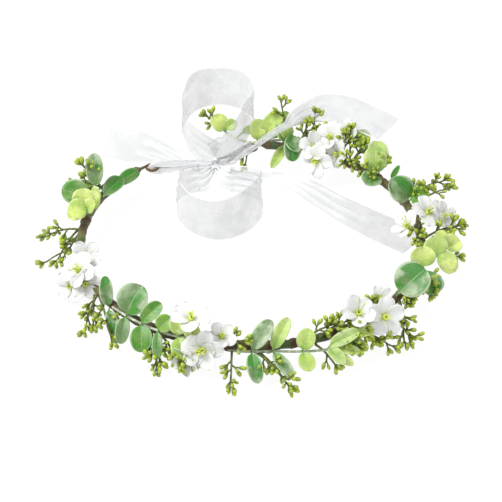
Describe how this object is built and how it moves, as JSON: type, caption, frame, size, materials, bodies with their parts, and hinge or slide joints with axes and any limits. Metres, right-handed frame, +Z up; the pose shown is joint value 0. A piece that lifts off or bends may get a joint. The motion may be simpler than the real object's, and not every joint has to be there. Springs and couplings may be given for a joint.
{
  "type": "flower crown",
  "caption": "Open wire hair wreath wound in brown tape, with eucalyptus leaves, green berry sprays and white flowers, closed at the back by a sheer ribbon bow",
  "frame": {"origin": "centre of the ring's opening, on the table that the crown lies on", "axes": "+X to the crown's right as seen from the front, +Y to the back where the bow is, +Z up"},
  "size_m": [0.2331, 0.2569, 0.0415],
  "materials": {
    "wire_wrap": "matt paper-covered wire",
    "floral_tape": "matt waxed paper tape",
    "sprig_stem": "matt moulded stem",
    "leaf_green": "soft leaf with a powdery bloom",
    "leaf_pale": "pale leaf with a powdery bloom",
    "berry_green": "satin moulded buds",
    "petal_white": "matt woven petals",
    "centre_lime": "satin moulded centre",
    "organza": "sheer stiff ribbon"
  },
  "bodies": {
    "crown_ring": {"ring_wire": "wire_wrap", "tape_left": "floral_tape", "tape_front": "floral_tape", "tape_right": "floral_tape", "eucalyptus_stem_1": "sprig_stem", "eucalyptus_stem_2": "sprig_stem", "eucalyptus_stem_3": "sprig_stem", "eucalyptus_stem_4": "sprig_stem", "eucalyptus_stem_5": "sprig_stem", "leaf_pair_01": "leaf_green", "leaf_pair_02": "leaf_green", "leaf_pair_03": "leaf_pale", "leaf_pair_04": "leaf_green", "leaf_pair_05": "leaf_green", "leaf_pair_06": "leaf_pale", "leaf_pair_07": "leaf_green", "leaf_pair_08": "leaf_green", "leaf_pair_09": "leaf_pale", "leaf_pair_10": "leaf_green", "leaf_pair_11": "leaf_green", "leaf_pair_12": "leaf_pale", "leaf_pair_13": "leaf_green", "leaf_pair_14": "leaf_green", "leaf_pair_15": "leaf_pale", "leaf_pair_16": "leaf_green", "leaf_pair_17": "leaf_green", "leaf_pair_18": "leaf_pale", "leaf_pair_19": "leaf_green", "leaf_pair_20": "leaf_green", "leaf_pair_21": "leaf_pale", "berry_spray_2": "berry_green", "berry_spray_3": "berry_green", "berry_spray_4": "berry_green", "berry_spray_5": "berry_green", "berry_spray_9": "berry_green", "berry_spray_10": "berry_green", "flower_1_petals": "petal_white", "flower_1_centre": "centre_lime", "flower_2_petals": "petal_white", "flower_2_centre": "centre_lime", "flower_3_petals": "petal_white", "flower_3_centre": "centre_lime", "flower_4_petals": "petal_white", "flower_4_centre": "centre_lime", "flower_5_petals": "petal_white", "flower_5_centre": "centre_lime", "flower_6_petals": "petal_white", "flower_6_centre": "centre_lime", "tail_left": "organza", "tail_back": "organza", "tail_inner": "organza"},
    "bow": {"bow_knot": "organza", "tie_left": "organza", "tie_right": "organza"},
    "bow_outer": {"bow_loop_outer": "organza"},
    "bow_inner": {"bow_loop_inner": "organza"},
    "spray_1": {"berry_spray_1": "berry_green"},
    "spray_6": {"berry_spray_6": "berry_green"},
    "spray_7": {"berry_spray_7": "berry_green"},
    "spray_8": {"berry_spray_8": "berry_green"}
  },
  "joints": [
    {"name": "bow_tilt", "type": "hinge", "parent": "crown_ring", "child": "bow", "pos_m": [-0.02941, 0.0808, 0.012], "axis": [-0.9397, -0.342, 0], "range_deg": [0, 12]},
    {"name": "loop_outer_lift", "type": "hinge", "parent": "bow", "child": "bow_outer", "pos_m": [-0.0215, 0.07798, 0.012], "axis": [1, 0, 0], "range_deg": [-10, 20]},
    {"name": "loop_inner_lift", "type": "hinge", "parent": "bow", "child": "bow_inner", "pos_m": [-0.0215, 0.07198, 0.009], "axis": [-1, 0, 0], "range_deg": [0, 25]},
    {"name": "spray_1_bend", "type": "hinge", "parent": "crown_ring", "child": "spray_1", "pos_m": [-0.09876, 0.00691, 0.012], "axis": [0.0698, 0.9976, 0], "range_deg": [0, 25]},
    {"name": "spray_6_bend", "type": "hinge", "parent": "crown_ring", "child": "spray_6", "pos_m": [0.05246, -0.08396, 0.012], "axis": [-0.2756, -0.9613, 0], "range_deg": [0, 10]},
    {"name": "spray_7_bend", "type": "hinge", "parent": "crown_ring", "child": "spray_7", "pos_m": [0.08009, -0.05819, 0.012], "axis": [-0.9976, -0.0698, 0], "range_deg": [0, 25]},
    {"name": "spray_8_bend", "type": "hinge", "parent": "crown_ring", "child": "spray_8", "pos_m": [0.0987, -0.00345, 0.01337], "axis": [0.2756, -0.9613, 0], "range_deg": [-10, 20]}
  ]
}
